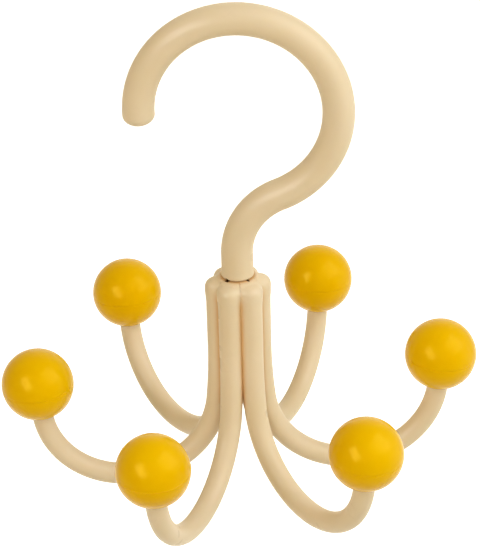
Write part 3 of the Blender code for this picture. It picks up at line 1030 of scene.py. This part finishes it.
@dataclass
class Fastener:
    """The washer and the cross-recess screw that hold the hook's spigot in the hub."""

    washer_top: float
    washer_radius: float = 4.4 * MM
    washer_hole: float = 1.8 * MM
    washer_thickness: float = 1 * MM
    seat_gap: float = 0.3 * MM
    shank_radius: float = 1.5 * MM
    shank_length: float = 14 * MM
    point_length: float = 1.5 * MM
    head_radius: float = 2.8 * MM
    head_height: float = 1.9 * MM
    rounded_height: float = 0.6         # share of the head's height that is rounded
    rounded_width: float = 0.45         # and of its radius
    recess_length: float = 3.4 * MM
    recess_width: float = 0.8 * MM
    recess_depth: float = 1 * MM
    sides: int = 64
    head_steps: int = 8

    def build(self, material: Material) -> None:
        """Models the washer and the screw.

        Args:
            material: zinc finish.
        """
        down = Vector((0, 0, -1))
        ring = RingModeller("spigot_washer", Vector((0, 0, self.washer_top)), down,
                            self.washer_hole, self.sides)
        ring.steps((0, self.washer_radius - EDGE), (EDGE, self.washer_radius),
                   (self.washer_thickness - 2 * EDGE, self.washer_radius),
                   (EDGE, self.washer_radius - EDGE), (0, self.washer_hole))
        ring.close_bore()
        dress(ring.finish(), HOOK_BODY, "washer", material)

        seat = self.washer_top - self.washer_thickness - self.seat_gap
        top = seat + self.shank_length
        screw = RingModeller("spigot_screw", Vector((0, 0, top)), down, self.shank_radius / 2, self.sides)
        screw.start_from_pole(0)
        screw.steps((self.point_length, self.shank_radius),
                    (self.shank_length - self.point_length, self.shank_radius), (0, self.head_radius),
                    (self.head_height * (1 - self.rounded_height), self.head_radius))
        rise = self.head_height * self.rounded_height
        flat = self.head_radius * (1 - self.rounded_width)
        head = dome(rise, self.head_radius * self.rounded_width, self.head_steps)
        screw.profile([(rise - height, flat + width) for height, width in reversed(head[:-1])])
        screw.pole(0)
        made = screw.finish()
        for size in ((self.recess_length, self.recess_width), (self.recess_width, self.recess_length)):
            bpy.ops.mesh.primitive_cube_add(size=1, location=(0, 0, seat - self.head_height),
                                            scale=(*size, 2 * self.recess_depth))
            carve(made, bpy.context.object)
        dress(made, HOOK_BODY, "retaining_screw", material)


@dataclass(frozen=True)
class SoftBox:
    """A square studio lamp with a diffuser."""

    name: str
    direction: tuple[float, float, float]   # from the hanger to the lamp, before the view's turn
    width: float
    height: float
    power: float
    colour: str
    only_gloss: bool = False            # it shows as a highlight and doesn't light the body colour
    roll: float = 0.0                   # turn of its frame about the direction, in degrees
    distance: float = 1.1


@dataclass
class Studio:
    """Camera, soft boxes, pale floor and white surroundings."""

    view_elevation: float = radians(28.57)
    view_roll: float = radians(-1.62)
    view_turn: float = radians(4.30)   # the camera's azimuth, from straight in front of the hook
    view_distance: float = 980 * MM
    aim_right: float = 0.83 * MM
    aim_up: float = 33.47 * MM
    aim_height: float = -130.97 * MM        # the plane of the balls' centres
    lens: float = 177.35
    sensor_width: float = 36
    far_clip: float = 50
    floor_height: float = -0.55
    floor_size: float = 14.0
    floor_tone: float = 0.8
    floor_light: float = 0.95               # of its own, as the camera sees it
    lamp_centre: tuple[float, float, float] = (0, 0, -0.1)
    fill_strength: float = 0.405
    fill_colour: str = "#ffeaa7"
    lamps: tuple[SoftBox, ...] = (
        SoftBox("right_soft_box", (0.709, -0.192, 0.68), 0.9, 0.9, 6.77, "#e4f0ff"),
        SoftBox("left_strip_box", (-0.589, -0.681, 0.43), 0.3, 0.7, 2.62, "#fff5f6"),
        SoftBox("front_soft_box", (0.0, -0.88, 0.48), 1.0, 1.0, 3.13, "#fffdf2"),
        SoftBox("low_soft_box", (0.95, -0.1, 0.1), 0.9, 0.9, 3.3, "#fffdf0"),
        SoftBox("back_soft_box", (0.15, 0.85, 0.42), 1.0, 1.0, 2.5, "#fff6e0"),
        SoftBox("right_gloss_box", (0.655, -0.365, 0.661), 1.0, 1.0, 15.0, "#ffffff", only_gloss=True),
        SoftBox("left_gloss_box", (-0.582, -0.700, 0.414), 0.44, 0.84, 20.0, "#ffffff", only_gloss=True,
                roll=50),
    )

    def add_camera(self) -> None:
        """Puts the camera where the picture was taken from."""
        elevation, roll = self.view_elevation, self.view_roll
        right = Vector((1, 0, 0))
        forward = Vector((0, cos(elevation), -sin(elevation)))
        upward = Vector((0, sin(elevation), cos(elevation)))
        side = right * cos(roll) + upward * sin(roll)
        top = upward * cos(roll) - right * sin(roll)
        place = right * self.aim_right + upward * self.aim_up - forward * self.view_distance
        basis = Matrix((side, top, -forward)).transposed().to_4x4()
        turn = Matrix.Rotation(self.view_turn, 4, "Z")
        data = bpy.data.cameras.new("picture_camera")
        data.lens = self.lens
        data.sensor_width = self.sensor_width
        data.clip_end = self.far_clip
        camera = bpy.data.objects.new("picture_camera", data)
        aim = Matrix.Translation((0, 0, self.aim_height))
        camera.matrix_world = aim @ turn @ Matrix.Translation(place) @ basis
        bpy.context.scene.collection.objects.link(camera)
        bpy.context.scene.camera = camera

    def add_lamps(self) -> None:
        """Adds the soft boxes, each turned to the hanger."""
        turn = Matrix.Rotation(self.view_turn, 3, "Z")
        for box in self.lamps:
            data = bpy.data.lights.new(box.name, "AREA")
            data.shape = "RECTANGLE"
            data.size, data.size_y = box.width, box.height
            data.energy = box.power
            data.color = linear_rgba(box.colour)[:3]
            direction = (turn @ Vector(box.direction)).normalized()
            lamp = bpy.data.objects.new(box.name, data)
            lamp.location = Vector(self.lamp_centre) + direction * box.distance
            facing = direction.to_track_quat("Z", "Y").to_matrix()
            rolled = Matrix.Rotation(radians(box.roll), 3, direction) @ facing
            lamp.rotation_euler = rolled.to_euler()
            lamp.visible_camera = False
            lamp.visible_diffuse = not box.only_gloss
            bpy.context.scene.collection.objects.link(lamp)

    @staticmethod
    def seen_rays(tree: NodeTree) -> NodeSocket:
        """Adds the nodes that tell camera, glossy and transmission rays from the others.

        Args:
            tree: node tree of the world or of a backdrop.

        Returns:
            A socket that is 1 for those rays and 0 for others.
        """
        path = add_node(tree, "ShaderNodeLightPath")
        seen = path.outputs["Is Camera Ray"]
        for kind in ("Is Glossy Ray", "Is Transmission Ray"):
            seen = add_node(tree, "ShaderNodeMath", {0: seen, 1: path.outputs[kind]},
                            operation="MAXIMUM").outputs[0]
        return seen

    def add_surroundings(self) -> None:
        """Makes the white surroundings, whose light on the hanger is a plain soft fill."""
        world = bpy.data.worlds.new("white_studio")
        bpy.context.scene.world = world
        world.use_nodes = True
        tree = world.node_tree
        tree.nodes.clear()
        fill = add_node(tree, "ShaderNodeBackground",
                        {"Color": linear_rgba(self.fill_colour), "Strength": self.fill_strength})
        white = add_node(tree, "ShaderNodeBackground", {"Color": (1, 1, 1, 1), "Strength": 1.0})
        mixed = add_node(tree, "ShaderNodeMixShader", {0: self.seen_rays(tree), 1: fill.outputs[0],
                                                       2: white.outputs[0]})
        add_node(tree, "ShaderNodeOutputWorld", {"Surface": mixed.outputs[0]})

    def add_floor(self) -> None:
        """Lays a pale floor far below the hanger: white from above, with a shadow, and clear from below."""
        bpy.ops.mesh.primitive_plane_add(size=self.floor_size, location=(0, 0, self.floor_height))
        floor = bpy.context.object
        floor.name = "studio_floor"
        paint = bpy.data.materials.new("white_floor_paint")
        paint.use_nodes = True
        tree = paint.node_tree
        tree.nodes.clear()
        matt = add_node(tree, "ShaderNodeBsdfDiffuse", {"Color": (*[self.floor_tone] * 3, 1)})
        lit = add_node(tree, "ShaderNodeEmission", {"Color": (1, 1, 1, 1), "Strength": self.floor_light})
        both = add_node(tree, "ShaderNodeAddShader", {0: matt.outputs[0], 1: lit.outputs[0]})
        seen = add_node(tree, "ShaderNodeMixShader", {0: self.seen_rays(tree), 1: matt.outputs[0],
                                                      2: both.outputs[0]})
        behind = add_node(tree, "ShaderNodeNewGeometry").outputs["Backfacing"]
        clear = add_node(tree, "ShaderNodeBsdfTransparent")
        one_sided = add_node(tree, "ShaderNodeMixShader",
                             {0: behind, 1: seen.outputs[0], 2: clear.outputs[0]})
        add_node(tree, "ShaderNodeOutputMaterial", {"Surface": one_sided.outputs[0]})
        floor.data.materials.append(paint)

    def build(self) -> None:
        """Sets up the whole studio."""
        bpy.context.scene.view_settings.view_transform = "Standard"
        self.add_camera()
        self.add_lamps()
        self.add_surroundings()
        self.add_floor()


def main() -> None:
    """Builds the hanger's pieces in order, then the studio."""
    logging.basicConfig(level=logging.INFO, format="%(message)s")
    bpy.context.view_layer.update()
    cream = CREAM.build()
    yellow = YELLOW.build()
    zinc = ZINC.build()

    hub_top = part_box("hub")[1].z
    pits = FootPits(height=hub_top + SLIT)
    Hook().build(cream, pits)
    column = Column(top=hub_top)
    column.build_hub(cream, pits)
    column.build_arms(cream, pits)
    Ball(column.ball_place(), column.end_lean, column.end_radius + SOCKET_GAP).build(column.turn, yellow)
    Fastener(washer_top=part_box("washer")[1].z).build(zinc)
    Studio().build()


if __name__ == "__main__":
    main()
